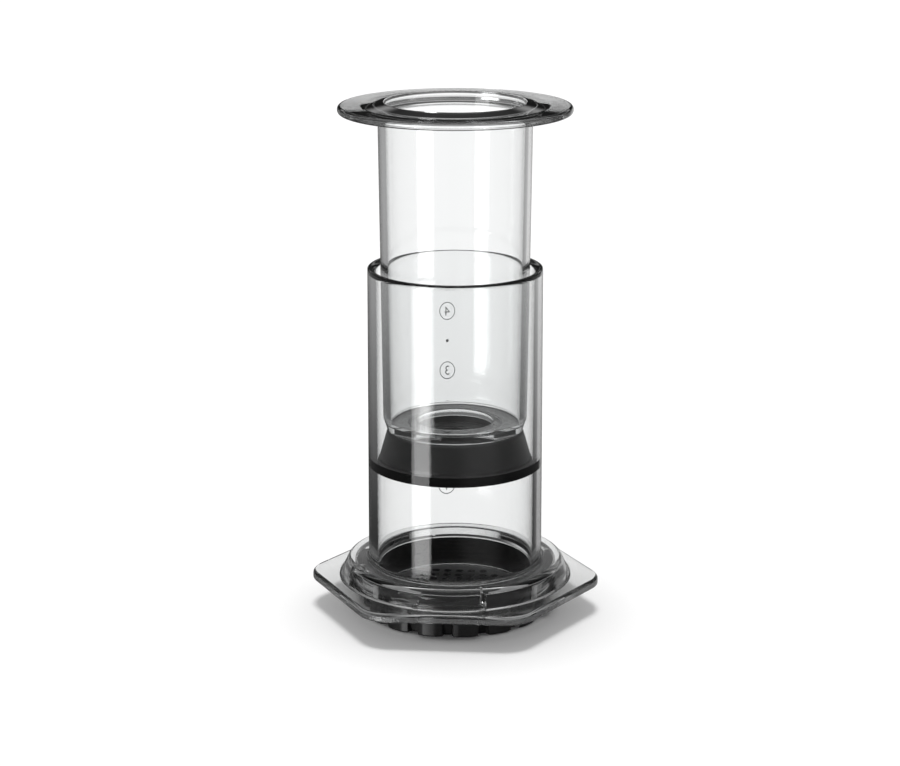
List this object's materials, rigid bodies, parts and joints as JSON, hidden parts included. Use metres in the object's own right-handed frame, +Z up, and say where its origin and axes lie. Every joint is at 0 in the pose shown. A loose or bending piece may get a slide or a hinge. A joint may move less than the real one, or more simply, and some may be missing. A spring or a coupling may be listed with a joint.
{
  "type": "piston coffee press",
  "caption": "Hand coffee press: clear chamber with a six-sided mug flange, clear hollow plunger with a rubber seal, and a black twist-on strainer cap.",
  "frame": {"origin": "centre of the strainer cap's foot, on the surface that the press stands on", "axes": "+Z up along the press, flat sides of the mug flange face -Y and +Y, its corners point along X"},
  "size_m": [0.107, 0.0962, 0.1905],
  "materials": {
    "clear_chamber": "clear copolyester, polished as moulded",
    "clear_plunger": "clear copolyester, polished as moulded",
    "black_rubber": "smooth black rubber",
    "black_plastic": "black polypropylene, satin as moulded"
  },
  "bodies": {
    "chamber": {"chamber": "clear_chamber"},
    "seal": {"plunger_seal": "black_rubber"},
    "plunger": {"plunger": "clear_plunger"},
    "cap": {"filter_cap": "black_plastic"}
  },
  "joints": [
    {"name": "plunger_slide", "type": "slide", "parent": "chamber", "child": "seal", "axis": [0, 0, 1], "range_m": [-0.05, 0.08]},
    {"name": "plunger_spin", "type": "hinge", "parent": "seal", "child": "plunger", "pos_m": [0, 0, 0.0703], "axis": [0, 0, 1], "continuous": true},
    {"name": "cap_twist", "type": "hinge", "parent": "chamber", "child": "cap", "pos_m": [0, 0, 0.01], "axis": [0, 0, 1], "range_deg": [-45, 0]}
  ]
}
